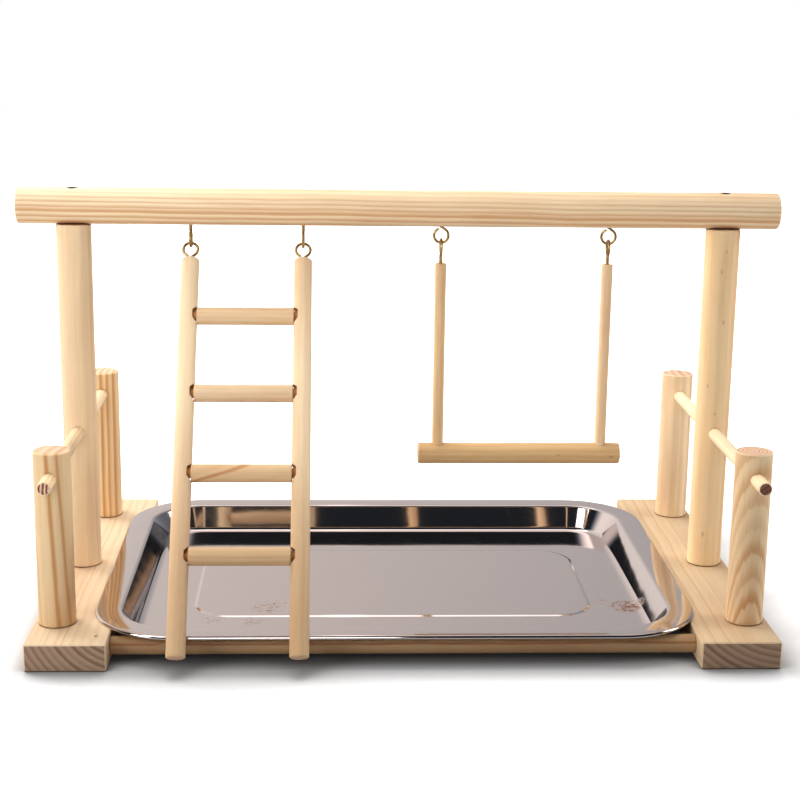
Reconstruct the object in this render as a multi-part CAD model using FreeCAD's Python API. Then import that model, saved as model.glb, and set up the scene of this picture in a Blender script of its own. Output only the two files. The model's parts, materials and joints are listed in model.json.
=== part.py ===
import FreeCAD, Part
import math
import os

# Parrot play stand, in millimetres: a frame of pine dowels on two base boards, a leaning ladder, a hanging swing and
# a loose pressed tray. +X runs along the top perch, +Y points away from the ladder's foot and +Z is up.
# The pieces are made with X = 0 and Y = 0 under the middle of the top perch and Z = 0 on the ground. At the end all
# of them move along Y together, so that the origin is the middle of the footprint.

Vector = FreeCAD.Vector
ORIGIN = Vector(0, 0, 0)
X = Vector(1, 0, 0)
Y = Vector(0, 1, 0)
Z = Vector(0, 0, 1)

# Base boards and crossbars
BOARD_PAST_TRAY = 8.0
BOARD_UNDER_RIM = 10.8
BOARD_WIDTH = 51.6
BOARD_THICKNESS = 18.0
BOARD_EASING = 0.8
CROSSBAR_DIAMETER = 12.0
CROSSBAR_INSIDE_RIM = 14.0
CROSSBAR_SEAT = 15.0

# Posts and perches
POST_DIAMETER = 24.0
POST_OUTSIDE_BOARD_MIDDLE = 10.5
TALL_POST_LENGTH = 245.0
SHORT_POST_LENGTH = 116.0
SHORT_POST_FROM_BOARD_END = 40.0
TOP_PERCH_DIAMETER = 25.0
TOP_PERCH_OVERHANG = 37.5
SIDE_PERCH_DIAMETER = 9.0
SIDE_PERCH_OVERHANG = 31.5
SIDE_PERCH_HEIGHT = 117.3
DOWEL_EASING = 0.7

# Tray, pressed from one sheet
TRAY_LENGTH = 400.0
TRAY_WIDTH = 300.0
TRAY_CORNER = 56.0
TRAY_DEPTH = 18.0
TRAY_SHEET = 0.6
TRAY_RIM = 17.0
TRAY_LIP = 2.0
TRAY_LIP_BEND = 1.8
TRAY_WALL_RUN = 11.0
TRAY_RIM_BEND = 3.0
TRAY_FLOOR_BEND = 6.0
TRAY_SIDE_SHIFT = -4.0
PANEL_LENGTH = 282.0
PANEL_WIDTH = 146.0
PANEL_CORNER = 28.0
PANEL_RISE = 0.8
PANEL_RAMP = 3.0
PANEL_BEND = 2.0

# Screw eyes: a teardrop ring of wire on a threaded shank
EYE_WIRE = 2.0
EYE_RING = 10.0
EYE_NECK = 6.2
EYE_SHANK = 2.4
EYE_SHANK_IN_WOOD = 12.0
EYE_TIP_GAP = 0.5
EYE_WIRE_SIDES = 12
LADDER_HANGER_DROP = 3.8
LADDER_EYE_DROP = 1.5
SWING_EYE_DROP = 5.6

# Ladder
LADDER_X = -106.5
LADDER_SPACING = 77.5
RAIL_DIAMETER = 12.5
RAIL_LENGTH = 277.0
RUNG_DIAMETER = 12.0
RUNG_COUNT = 4
FIRST_RUNG = 42.5
RUNG_PITCH = 56.2
RUNG_TENON_DIAMETER = 7.0
RUNG_TENON_LENGTH = 5.0
RUNG_SHOULDER_INSET = 0.4
RUNG_SEAT_DEPTH = 3.0

# Swing
SWING_X = 86.5
SWING_SPACING = 117.0
SWING_ROD_DIAMETER = 8.0
SWING_ROD_LENGTH = 137.0
SWING_PERCH_DIAMETER = 15.0
SWING_PERCH_LENGTH = 145.0

# Wood screws
SCREW_DIAMETER = 4.0
SCREW_HEAD_DIAMETER = 7.4
SCREW_HEAD_HEIGHT = 2.4
SCREW_POINT = 5.0
TOP_SCREW_LENGTH = 50.0
BOARD_SCREW_LENGTH = 40.0
BOARD_SCREW_RECESS = 1.0

# Fits and clearances
GLUED_FIT = 0.05
SCREW_FIT = 0.05
EYE_FIT = 0.05
EYE_LINK_GAP = 0.3
LADDER_REST_GAP = 0.3
TRAY_REST_GAP = 0.1

# Heights and places that follow from the sizes above
BOARD_LENGTH = TRAY_WIDTH + 2 * BOARD_PAST_TRAY
BOARD_GAP = TRAY_LENGTH - 2 * BOARD_UNDER_RIM
BOARD_X = (BOARD_GAP + BOARD_WIDTH) / 2
CROSSBAR_Y = TRAY_WIDTH / 2 - CROSSBAR_INSIDE_RIM
POST_X = BOARD_X + POST_OUTSIDE_BOARD_MIDDLE
SHORT_POST_Y = BOARD_LENGTH / 2 - SHORT_POST_FROM_BOARD_END
TOP_PERCH_LENGTH = 2 * (POST_X + TOP_PERCH_OVERHANG)
SIDE_PERCH_LENGTH = 2 * (SHORT_POST_Y + SIDE_PERCH_OVERHANG)
PERCH_UNDERSIDE = BOARD_THICKNESS + TALL_POST_LENGTH
TOP_PERCH_Z = PERCH_UNDERSIDE + TOP_PERCH_DIAMETER / 2
CROSSBAR_Z = BOARD_THICKNESS / 2
RING_TO_RING = EYE_WIRE + EYE_LINK_GAP
RING_TO_NECK = EYE_RING / 2 + EYE_NECK
LADDER_HINGE_Z = PERCH_UNDERSIDE - LADDER_HANGER_DROP - RING_TO_NECK + RING_TO_RING
SWING_HINGE_Z = PERCH_UNDERSIDE - RING_TO_NECK
RIM_Z = BOARD_THICKNESS + TRAY_REST_GAP + TRAY_LIP
TRAY_FLOOR_Z = RIM_Z - TRAY_DEPTH + TRAY_SHEET
RAIL_TOP = RING_TO_NECK + LADDER_EYE_DROP
SWING_ROD_TOP = RING_TO_NECK - RING_TO_RING + SWING_EYE_DROP


def rail_lean():
    """The angle from upright, in degrees, at which the rails lean on the rolled edge of the tray's rim."""
    edge_y = TRAY_WIDTH / 2 - TRAY_LIP_BEND
    edge_drop = LADDER_HINGE_Z - (RIM_Z - TRAY_LIP_BEND)
    reach = math.hypot(edge_y, edge_drop)
    stand_off = RAIL_DIAMETER / 2 + TRAY_LIP_BEND + LADDER_REST_GAP
    return math.degrees(math.atan2(edge_y, edge_drop) + math.asin(stand_off / reach))


def rod(diameter, start, direction, length, easing=DOWEL_EASING):
    """A dowel from start along direction, with the sharp edge of both ends eased."""
    plain = Part.makeCylinder(diameter / 2, length, start, direction)
    ends = [edge for edge in plain.Edges if edge.Closed]
    return plain.makeChamfer(easing, ends)


def bore(diameter, start, direction, depth):
    """The tool that drills a hole from start along direction."""
    return Part.makeCylinder(diameter / 2, depth, start, direction)


def moved(shape, offset):
    """A copy of a shape, moved by offset."""
    copy = shape.copy()
    copy.translate(offset)
    return copy


def turned(shape, axis, angle):
    """A copy of a shape, turned about an axis through the local origin."""
    copy = shape.copy()
    copy.rotate(ORIGIN, axis, angle)
    return copy


# ---- fasteners ----


def screw(length):
    """A countersunk wood screw with the flat of its head at the local origin and its point down."""
    shank = SCREW_DIAMETER / 2
    outline = Part.makePolygon([
        ORIGIN,
        Vector(SCREW_HEAD_DIAMETER / 2, 0, 0),
        Vector(shank, 0, -SCREW_HEAD_HEIGHT),
        Vector(shank, 0, -length + SCREW_POINT),
        Vector(0, 0, -length),
        ORIGIN,
    ])
    return Part.Face(outline).revolve(ORIGIN, Z, 360)


def screw_hole(length):
    """The tool that makes a screw's countersunk hole, a little wider and longer than the screw."""
    shank = SCREW_DIAMETER / 2 + SCREW_FIT
    head = SCREW_HEAD_DIAMETER / 2 + SCREW_FIT
    outline = Part.makePolygon([
        Vector(0, 0, TOP_PERCH_DIAMETER),
        Vector(head, 0, TOP_PERCH_DIAMETER),
        Vector(head, 0, 0),
        Vector(shank, 0, -SCREW_HEAD_HEIGHT),
        Vector(shank, 0, -length - SCREW_FIT),
        Vector(0, 0, -length - SCREW_FIT),
        Vector(0, 0, TOP_PERCH_DIAMETER),
    ])
    return Part.Face(outline).revolve(ORIGIN, Z, 360)


def wire_section(middle, direction):
    """The many-sided section of an eye's wire about a point, square to a direction in the XZ plane."""
    radius = EYE_WIRE / 2
    across = direction.cross(Y).normalize().multiply(radius)
    corners = []
    for side in range(EYE_WIRE_SIDES):
        turn = 2 * math.pi * (side + 0.5) / EYE_WIRE_SIDES
        offset = Vector(across).multiply(math.cos(turn)).add(Vector(0, radius * math.sin(turn), 0))
        corners.append(middle.add(offset))
    return Part.Face(Part.makePolygon(corners + corners[:1]))


def screw_eye(drop):
    """A screw eye with its ring's middle at the local origin, in the XZ plane, and its shank pointing down.

    The wire leaves the neck, runs round the ring and comes back to just short of the neck. drop is the length of
    bare shank between the neck and the wood.
    """
    ring = EYE_RING / 2
    shank = EYE_SHANK / 2
    spread = math.acos(ring / EYE_NECK)
    neck = Vector(0, 0, -EYE_NECK)
    start = Vector(-ring * math.sin(spread), 0, -ring * math.cos(spread))
    end = Vector(-start.x, 0, start.z)
    leg = start.sub(neck)
    back = neck.sub(end)
    tip_share = 1 - (EYE_TIP_GAP + EYE_WIRE / 2 / math.tan(spread)) / leg.Length
    section = wire_section(start, leg)
    pieces = [
        section.revolve(ORIGIN, Y, 360 - 2 * math.degrees(spread)),
        section.extrude(leg.negative()),
        wire_section(end, back).extrude(back.multiply(tip_share)),
        Part.makeCone(shank, shank / 2, shank, neck, Z),
        Part.makeCylinder(shank, drop + EYE_SHANK_IN_WOOD, neck, Z.negative()),
    ]
    return pieces[0].multiFuse(pieces[1:]).removeSplitter()


def eye_hole(start, direction):
    """The tool that makes a screw eye's pilot hole, with a countersunk mouth where the wire's neck beds in."""
    radius = EYE_SHANK / 2 + EYE_FIT
    mouth = EYE_WIRE + EYE_FIT
    pilot = Part.makeCylinder(radius, EYE_SHANK_IN_WOOD + EYE_WIRE, start, direction)
    countersink = Part.makeCone(mouth + radius, radius, mouth, start, direction)
    return pilot.fuse(countersink)


# ---- base, posts and perches ----


def base_board(side):
    """One base board, drilled for the crossbars and for the screws that hold its three posts."""
    board = Part.makeBox(BOARD_WIDTH, BOARD_LENGTH, BOARD_THICKNESS)
    board.translate(Vector(side * BOARD_X - BOARD_WIDTH / 2, -BOARD_LENGTH / 2, 0))
    board = board.makeChamfer(BOARD_EASING, board.Edges)
    inner_face = side * BOARD_GAP / 2
    inward = Vector(side, 0, 0)
    tools = []
    for end in (-1, 1):
        mouth = Vector(inner_face, end * CROSSBAR_Y, CROSSBAR_Z)
        tools.append(bore(CROSSBAR_DIAMETER + 2 * GLUED_FIT, mouth, inward, CROSSBAR_SEAT + GLUED_FIT))
    tools += [moved(turned(screw_hole(BOARD_SCREW_LENGTH), X, 180), place) for place in board_screw_places(side)]
    return board.cut(tools)


def crossbar(end):
    """A dowel between the two boards, glued into a blind hole in each."""
    length = BOARD_GAP + 2 * CROSSBAR_SEAT
    return rod(CROSSBAR_DIAMETER, Vector(-length / 2, end * CROSSBAR_Y, CROSSBAR_Z), X, length)


def board_screw_places(side):
    """Where the heads of the screws under one board lie."""
    return [Vector(side * POST_X, y, BOARD_SCREW_RECESS) for y in (-SHORT_POST_Y, 0, SHORT_POST_Y)]


def side_perch_bore(side):
    """The tool that drills the three posts of one side for their side perch."""
    start = Vector(side * POST_X, -SIDE_PERCH_LENGTH / 2, SIDE_PERCH_HEIGHT)
    return bore(SIDE_PERCH_DIAMETER + 2 * GLUED_FIT, start, Y, SIDE_PERCH_LENGTH)


def board_screw_bore(side, y):
    """The tool that makes the pilot hole in a post's foot."""
    start = Vector(side * POST_X, y, 0)
    depth = BOARD_SCREW_RECESS + BOARD_SCREW_LENGTH + SCREW_FIT
    return bore(SCREW_DIAMETER + 2 * SCREW_FIT, start, Z, depth)


def post(side, y, length):
    """A post that stands on its board, drilled for the side perch and the screw from below."""
    body = rod(POST_DIAMETER, Vector(side * POST_X, y, BOARD_THICKNESS), Z, length)
    return body.cut([side_perch_bore(side), board_screw_bore(side, y)])


def top_screw_place(side):
    """Where the head of the screw down into a tall post lies, flush with the top of the perch."""
    return Vector(side * POST_X, 0, PERCH_UNDERSIDE + TOP_PERCH_DIAMETER)


def tall_post(side):
    """A tall post, also drilled for the screw from above. Its flat top meets the round perch along a line."""
    pilot = moved(screw_hole(TOP_SCREW_LENGTH), top_screw_place(side))
    return post(side, 0, TALL_POST_LENGTH).cut(pilot)


def side_perch(side):
    """The thin dowel through the three posts of one side, with free ends in front and behind."""
    start = Vector(side * POST_X, -SIDE_PERCH_LENGTH / 2, SIDE_PERCH_HEIGHT)
    return rod(SIDE_PERCH_DIAMETER, start, Y, SIDE_PERCH_LENGTH)


def pair(middle, spacing):
    """The X places of a left and right pair."""
    return (middle - spacing / 2, middle + spacing / 2)


def top_perch():
    """The thick dowel across the tall posts, drilled for its two screws and four screw eyes."""
    body = rod(TOP_PERCH_DIAMETER, Vector(-TOP_PERCH_LENGTH / 2, 0, TOP_PERCH_Z), X, TOP_PERCH_LENGTH)
    tools = [moved(screw_hole(TOP_SCREW_LENGTH), top_screw_place(side)) for side in (-1, 1)]
    eyes = pair(LADDER_X, LADDER_SPACING) + pair(SWING_X, SWING_SPACING)
    tools += [eye_hole(Vector(x, 0, PERCH_UNDERSIDE), Z) for x in eyes]
    return body.cut(tools)


# ---- tray ----


def rounded_bends(corners, radii):
    """A line through corners in the XZ plane, with an arc of its own radius at each inner corner."""
    edges = []
    last = corners[0]
    for before, corner, after, radius in zip(corners, corners[1:], corners[2:], radii):
        arriving = corner.sub(before).normalize()
        leaving = after.sub(corner).normalize()
        turn = arriving.getAngle(leaving)
        setback = radius * math.tan(turn / 2)
        first = corner.sub(Vector(arriving).multiply(setback))
        final = corner.add(Vector(leaving).multiply(setback))
        inward = leaving.sub(arriving).normalize()
        middle = corner.add(inward.multiply(radius / math.cos(turn / 2) - radius))
        edges.append(Part.LineSegment(last, first).toShape())
        edges.append(Part.Arc(first, middle, final).toShape())
        last = final
    edges.append(Part.LineSegment(last, corners[-1]).toShape())
    return Part.Wire(edges)


def pressed_sheet(corners, radii, half_length, half_width):
    """Sheet pressed to one section all round a rounded rectangle, with a flat middle.

    The section is the sheet's upper side, from the outside in, and X in it is the distance from the axis of the
    corner. half_length and half_width place the four corner axes.
    """
    section = rounded_bends(corners, radii).makeOffset2D(TRAY_SHEET, 0, True, True)
    axes = [
        Vector(half_length, half_width, 0),
        Vector(-half_length, half_width, 0),
        Vector(-half_length, -half_width, 0),
        Vector(half_length, -half_width, 0),
    ]
    pieces = []
    for number, axis in enumerate(axes):
        face = turned(section, Z, 90 * number)
        before = axes[number - 1]
        pieces.append(moved(face.revolve(ORIGIN, Z, 90), axis))
        pieces.append(moved(face, before).extrude(axis.sub(before)))
    middle = Part.makeBox(2 * half_length, 2 * half_width, TRAY_SHEET)
    middle.translate(Vector(-half_length, -half_width, corners[-1].z - TRAY_SHEET))
    pieces.append(middle)
    return pieces[0].multiFuse(pieces[1:]).removeSplitter()


def rounded_block(length, width, corner, bottom, top):
    """A block with rounded upright edges, about the Z axis."""
    block = Part.makeBox(length, width, top - bottom)
    block.translate(Vector(-length / 2, -width / 2, bottom))
    upright = [edge for edge in block.Edges if abs(edge.tangentAt(edge.FirstParameter).z) > 0.5]
    return block.makeFillet(corner, upright)


def tray():
    """The tray: a rolled edge, a flat rim, sloping walls and a floor with a raised stiffening panel."""
    wall_top = TRAY_CORNER - TRAY_RIM
    shell = pressed_sheet(
        [
            Vector(TRAY_CORNER, 0, RIM_Z - TRAY_LIP),
            Vector(TRAY_CORNER, 0, RIM_Z),
            Vector(wall_top, 0, RIM_Z),
            Vector(wall_top - TRAY_WALL_RUN, 0, TRAY_FLOOR_Z),
            Vector(0, 0, TRAY_FLOOR_Z),
        ],
        [TRAY_LIP_BEND, TRAY_RIM_BEND, TRAY_FLOOR_BEND],
        TRAY_LENGTH / 2 - TRAY_CORNER,
        TRAY_WIDTH / 2 - TRAY_CORNER,
    )
    panel = pressed_sheet(
        [
            Vector(PANEL_CORNER, 0, TRAY_FLOOR_Z),
            Vector(PANEL_CORNER - PANEL_BEND, 0, TRAY_FLOOR_Z),
            Vector(PANEL_CORNER - PANEL_BEND - PANEL_RAMP, 0, TRAY_FLOOR_Z + PANEL_RISE),
            Vector(0, 0, TRAY_FLOOR_Z + PANEL_RISE),
        ],
        [PANEL_BEND, PANEL_BEND],
        PANEL_LENGTH / 2 - PANEL_CORNER,
        PANEL_WIDTH / 2 - PANEL_CORNER,
    )
    window = rounded_block(PANEL_LENGTH, PANEL_WIDTH, PANEL_CORNER, TRAY_FLOOR_Z - 2 * TRAY_SHEET, RIM_Z)
    whole = shell.cut(window).fuse(panel).removeSplitter()
    return moved(whole, Vector(TRAY_SIDE_SHIFT, 0, 0))


# ---- ladder, made upright below its hinge line and then leaned ----


def rung_heights():
    """How far each rung lies below the hinge line, along the rails."""
    return [RAIL_TOP + FIRST_RUNG + number * RUNG_PITCH for number in range(RUNG_COUNT)]


def rail(side):
    """A ladder rail with a seat and a tenon hole for each rung, and a screw eye's hole in its top."""
    x = side * LADDER_SPACING / 2
    body = rod(RAIL_DIAMETER, Vector(x, 0, -RAIL_TOP - RAIL_LENGTH), Z, RAIL_LENGTH)
    inner_side = x - side * RAIL_DIAMETER / 2
    outward = Vector(side, 0, 0)
    tenon_end = RUNG_SHOULDER_INSET + RUNG_TENON_LENGTH + GLUED_FIT
    tools = [eye_hole(Vector(x, 0, -RAIL_TOP), Z.negative())]
    for height in rung_heights():
        start = Vector(inner_side, 0, -height)
        tools.append(bore(RUNG_DIAMETER + 2 * GLUED_FIT, start, outward, RUNG_SEAT_DEPTH))
        tools.append(bore(RUNG_TENON_DIAMETER + 2 * GLUED_FIT, start, outward, tenon_end))
    return body.cut(tools)


def rung(height):
    """A rung whose shoulders stand just inside the rails' seats, with a tenon on each end."""
    length = LADDER_SPACING - RAIL_DIAMETER + 2 * RUNG_SHOULDER_INSET
    tenons = length + 2 * RUNG_TENON_LENGTH
    body = rod(RUNG_DIAMETER, Vector(-length / 2, 0, -height), X, length, DOWEL_EASING / 2)
    core = rod(RUNG_TENON_DIAMETER, Vector(-tenons / 2, 0, -height), X, tenons, DOWEL_EASING / 2)
    return body.fuse(core)


def ladder_eye(side):
    """The screw eye in the top of a rail. The top of its ring lies on the hinge line."""
    return moved(screw_eye(LADDER_EYE_DROP), Vector(side * LADDER_SPACING / 2, 0, -EYE_RING / 2))


def leaned(shape):
    """A piece of the ladder, leaned against the tray's rim and put in its place."""
    return moved(turned(shape, X, -rail_lean()), Vector(LADDER_X, 0, LADDER_HINGE_Z))


def ladder():
    """The ladder's pieces by name."""
    pieces = {}
    for name, side in (("left", -1), ("right", 1)):
        pieces[f"ladder_{name}_rail"] = leaned(rail(side))
        pieces[f"ladder_{name}_eye"] = leaned(ladder_eye(side))
    for number, height in enumerate(rung_heights(), 1):
        pieces[f"ladder_rung_{number}"] = leaned(rung(height))
    return pieces


# ---- swing, made below its hinge line ----


def swing_perch_drop():
    """How far the swing's perch lies below its hinge line. The rods end at the middle of the perch."""
    return SWING_ROD_TOP + SWING_ROD_LENGTH


def swing_rod(side):
    """A rod of the swing, with a screw eye's hole in its top and its foot seated in the perch."""
    x = side * SWING_SPACING / 2
    body = rod(SWING_ROD_DIAMETER, Vector(x, 0, -swing_perch_drop()), Z, SWING_ROD_LENGTH, DOWEL_EASING / 2)
    return body.cut(eye_hole(Vector(x, 0, -SWING_ROD_TOP), Z.negative()))


def swing_perch():
    """The perch of the swing, drilled from above for the feet of its rods."""
    body = rod(SWING_PERCH_DIAMETER, Vector(-SWING_PERCH_LENGTH / 2, 0, -swing_perch_drop()), X, SWING_PERCH_LENGTH)
    tools = []
    for x in pair(0, SWING_SPACING):
        bottom = Vector(x, 0, -swing_perch_drop() - GLUED_FIT)
        tools.append(bore(SWING_ROD_DIAMETER + 2 * GLUED_FIT, bottom, Z, SWING_PERCH_DIAMETER))
    return body.cut(tools)


def swing_eye(side):
    """The screw eye in the top of a rod, its ring turned to pass through the hanger's."""
    ring_drop = EYE_RING / 2 - RING_TO_RING
    return moved(turned(screw_eye(SWING_EYE_DROP), Z, 90), Vector(side * SWING_SPACING / 2, 0, -ring_drop))


def swing():
    """The swing's pieces by name, hanging at rest."""
    pieces = {"swing_perch": swing_perch()}
    for name, side in (("left", -1), ("right", 1)):
        pieces[f"swing_{name}_rod"] = swing_rod(side)
        pieces[f"swing_{name}_eye"] = swing_eye(side)
    place = Vector(SWING_X, 0, SWING_HINGE_Z)
    return {name: moved(shape, place) for name, shape in pieces.items()}


# ---- frame ----


def ladder_hanger(x):
    """A screw eye in the top perch, its ring across the perch, for the ladder's eye to hang in."""
    upside_down = turned(turned(screw_eye(LADDER_HANGER_DROP), X, 180), Z, 90)
    return moved(upside_down, Vector(x, 0, LADDER_HINGE_Z - RING_TO_RING + EYE_RING / 2))


def swing_hanger(x):
    """A screw eye in the top perch, screwed in up to its neck, its ring along the perch."""
    return moved(turned(screw_eye(0), X, 180), Vector(x, 0, SWING_HINGE_Z + EYE_RING / 2))


def frame():
    """The pieces that stand still, by name."""
    pieces = {
        "front_crossbar": crossbar(-1),
        "rear_crossbar": crossbar(1),
        "top_perch": top_perch(),
    }
    top_screws = []
    board_screws = []
    for name, side in (("left", -1), ("right", 1)):
        pieces[f"{name}_base_board"] = base_board(side)
        pieces[f"{name}_tall_post"] = tall_post(side)
        pieces[f"{name}_front_post"] = post(side, -SHORT_POST_Y, SHORT_POST_LENGTH)
        pieces[f"{name}_rear_post"] = post(side, SHORT_POST_Y, SHORT_POST_LENGTH)
        pieces[f"{name}_side_perch"] = side_perch(side)
        top_screws.append(moved(screw(TOP_SCREW_LENGTH), top_screw_place(side)))
        for place in board_screw_places(side):
            board_screws.append(moved(turned(screw(BOARD_SCREW_LENGTH), X, 180), place))
    pieces["top_perch_screws"] = Part.makeCompound(top_screws)
    pieces["post_screws"] = Part.makeCompound(board_screws)
    for hanger, middle, spacing, make in (
        ("ladder_hanger", LADDER_X, LADDER_SPACING, ladder_hanger),
        ("swing_hanger", SWING_X, SWING_SPACING, swing_hanger),
    ):
        for name, x in zip(("left", "right"), pair(middle, spacing)):
            pieces[f"{hanger}_{name}"] = make(x)
    return pieces


def footprint_shift(pieces):
    """How far to move everything along Y, so that the origin is midway between the foremost and rearmost points."""
    reach = pieces["ladder_left_rail"].optimalBoundingBox(True, False).YMin
    return -(reach + BOARD_LENGTH / 2) / 2


def main():
    """Makes every piece, moves the origin to the middle of the footprint and writes one file for each piece."""
    os.makedirs("parts", exist_ok=True)
    pieces = {**frame(), **ladder(), **swing(), "tray": tray()}
    shift = Vector(0, footprint_shift(pieces), 0)
    for name, shape in pieces.items():
        moved(shape, shift).exportStep(f"parts/{name}.step")
    print(f"{len(pieces)} pieces, lean {rail_lean():.3f} degrees, shift {shift.y:.3f} mm")


main()
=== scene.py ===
# %% [markdown]
# # A parrot play stand: pine dowels, bent wire and a pressed steel tray
# This lesson dresses a finished model of a tabletop play stand. Its shapes are already right, so most of
# the work is in the finishes: pine that looks sawn from a log, steel that mirrors the wood, and dull
# brass wire. Three kinds of piece are made here again, because a mirror or a close look needs finer
# shapes than a plain solid gives: the tray, the screw eyes and the screws.

# %% Load the stand
import bpy
import json
import math
from mathutils import Matrix, Vector


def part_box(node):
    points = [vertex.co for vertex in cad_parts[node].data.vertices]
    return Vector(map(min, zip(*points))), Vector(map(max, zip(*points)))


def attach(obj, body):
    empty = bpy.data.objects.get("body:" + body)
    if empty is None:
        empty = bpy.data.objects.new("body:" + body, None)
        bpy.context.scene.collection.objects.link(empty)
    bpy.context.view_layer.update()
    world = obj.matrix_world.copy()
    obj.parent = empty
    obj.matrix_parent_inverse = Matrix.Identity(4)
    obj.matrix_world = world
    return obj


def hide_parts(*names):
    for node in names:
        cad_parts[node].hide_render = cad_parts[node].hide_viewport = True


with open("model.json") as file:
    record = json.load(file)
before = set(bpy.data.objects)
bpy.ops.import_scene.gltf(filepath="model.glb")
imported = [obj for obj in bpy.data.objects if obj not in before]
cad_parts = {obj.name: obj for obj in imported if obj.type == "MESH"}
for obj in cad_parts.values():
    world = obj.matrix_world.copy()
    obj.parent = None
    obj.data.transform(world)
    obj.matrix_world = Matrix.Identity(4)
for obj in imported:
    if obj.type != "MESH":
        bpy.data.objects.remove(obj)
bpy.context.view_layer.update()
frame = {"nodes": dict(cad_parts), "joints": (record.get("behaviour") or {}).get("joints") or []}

MM = 0.001
nodes = frame["nodes"]

# %% [markdown]
# ## Where things are
# A finish has to know where its piece lies, and a new piece has to know where the old one was. Both come
# from the model itself, from the boxes of its pieces and from its joints. The rails of the ladder lean,
# and the tray lifts out parallel to them, so the joint that lifts the tray gives their direction.

# %% Directions and joints
joints = {joint["name"]: joint for joint in frame["joints"]}
RIGHT = Vector((1, 0, 0))
BACK = Vector((0, 1, 0))
UP = Vector((0, 0, 1))
RAIL = Vector(joints["tray_lift"]["axis"]).normalized()
LADDER_HINGE = Vector(joints["ladder_lift"]["pos_m"])
SWING_HINGE = Vector(joints["swing_hang"]["pos_m"])


def middle(node):
    """The middle of a node's box."""
    low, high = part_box(node)
    return (low + high) / 2


lean = math.atan2(RAIL.y, RAIL.z)
print(f"the ladder leans {math.degrees(lean):.1f} degrees from upright")

# %% [markdown]
# ## Arithmetic for materials
# A procedural finish is a long sum of patterns. Wiring each sum by hand is slow to write and slower to
# read, so a small class holds one socket and lets Python's own signs add the Math nodes. Nearly every
# other node comes from one method, which takes its type, its settings and what its sockets get.


# %% A socket that can be added and multiplied
class Value:
    """A number, vector or colour that varies from place to place: a socket whose signs add Math nodes."""

    def __init__(self, owner, socket):
        self.owner = owner
        self.socket = socket

    def __add__(self, other):
        return self.owner.math("ADD", self, other)

    def __radd__(self, other):
        return self.owner.math("ADD", other, self)

    def __sub__(self, other):
        return self.owner.math("SUBTRACT", self, other)

    def __rsub__(self, other):
        return self.owner.math("SUBTRACT", other, self)

    def __mul__(self, other):
        return self.owner.math("MULTIPLY", self, other)

    def __rmul__(self, other):
        return self.owner.math("MULTIPLY", other, self)

    def __truediv__(self, other):
        return self.owner.math("DIVIDE", self, other)

    def __pow__(self, other):
        return self.owner.math("POWER", self, other)

    def __abs__(self):
        return self.owner.math("ABSOLUTE", self)

    def rise(self, low, high):
        """0 below low, 1 above high and smooth between. low may be the larger, for a fall."""
        settings = {"interpolation_type": "SMOOTHSTEP"}
        return self.owner.node("ShaderNodeMapRange", settings, {"Value": self, 1: low, 2: high})["Result"]


class Outputs:
    """The outputs of one node, each as a Value. A name or a number picks one."""

    def __init__(self, owner, node):
        self.owner = owner
        self.node = node

    def __getitem__(self, name):
        return Value(self.owner, self.node.outputs[name])


# %% Trees of nodes, and a finish as one of them
class Tree:
    """A node tree, with one method that adds a node of any kind."""

    def __init__(self, tree):
        self.tree = tree

    def node(self, kind, settings=None, inputs=None):
        """Adds a node, sets it up and fills its sockets with values or links."""
        made = self.tree.nodes.new(kind)
        for name, value in (settings or {}).items():
            setattr(made, name, value)
        for name, value in (inputs or {}).items():
            if isinstance(value, Value):
                self.tree.links.new(value.socket, made.inputs[name])
            else:
                made.inputs[name].default_value = value
        return Outputs(self, made)

    def math(self, operation, *inputs):
        """The output of a Math node."""
        return self.node("ShaderNodeMath", {"operation": operation}, dict(enumerate(inputs)))["Value"]

    def vector(self, x, y, z):
        """A vector from three numbers."""
        return self.node("ShaderNodeCombineXYZ", None, {"X": x, "Y": y, "Z": z})["Vector"]


class Finish(Tree):
    """A material's nodes, with a Principled shader unless another shader is put in its place."""

    def __init__(self, owner):
        owner.use_nodes = True
        super().__init__(owner.node_tree)
        self.owner = owner
        self.tree.nodes.clear()

    def point(self):
        """Where a point of the surface is, in metres."""
        return self.node("ShaderNodeTexCoord")["Object"]

    def facing(self):
        """Which way the surface faces."""
        return self.node("ShaderNodeTexCoord")["Normal"]

    def vectors(self, operation, *inputs):
        """The outputs of a Vector Math node."""
        return self.node("ShaderNodeVectorMath", {"operation": operation}, dict(enumerate(inputs)))

    def along(self, vector, direction, start=None):
        """How far a vector reaches along a direction, measured from a starting point."""
        if start is not None:
            vector = self.vectors("SUBTRACT", vector, start)["Vector"]
        return self.vectors("DOT_PRODUCT", vector, direction)["Value"]

    def noise(self, vector, detail=2.0, roughness=0.5, scale=1.0):
        """Soft noise from 0 to 1 about its middle value of a half."""
        inputs = {"Vector": vector, "Scale": scale, "Detail": detail, "Roughness": roughness}
        return self.node("ShaderNodeTexNoise", None, inputs)["Fac"]

    def random(self, number):
        """A random number from 0 to 1 for each whole number."""
        return self.node("ShaderNodeTexWhiteNoise", {"noise_dimensions": "1D"}, {"W": number})["Value"]

    def mix(self, share, first, second, blend="MIX"):
        """A colour between first and second."""
        settings = {"data_type": "RGBA", "blend_type": blend}
        return self.node("ShaderNodeMix", settings, {0: share, 6: first, 7: second})[2]

    def bump(self, height, depth):
        """A surface that is raised by height, times depth in metres."""
        inputs = {"Height": height, "Distance": depth, "Strength": 1.0}
        return self.node("ShaderNodeBump", None, inputs)["Normal"]

    def surface(self, inputs):
        """Finishes with a Principled shader."""
        return self.shade(self.node("ShaderNodeBsdfPrincipled", None, inputs)["BSDF"])

    def shade(self, shader):
        """Finishes with a shader of its own."""
        self.node("ShaderNodeOutputMaterial", None, {"Surface": shader})
        return self.owner


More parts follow.
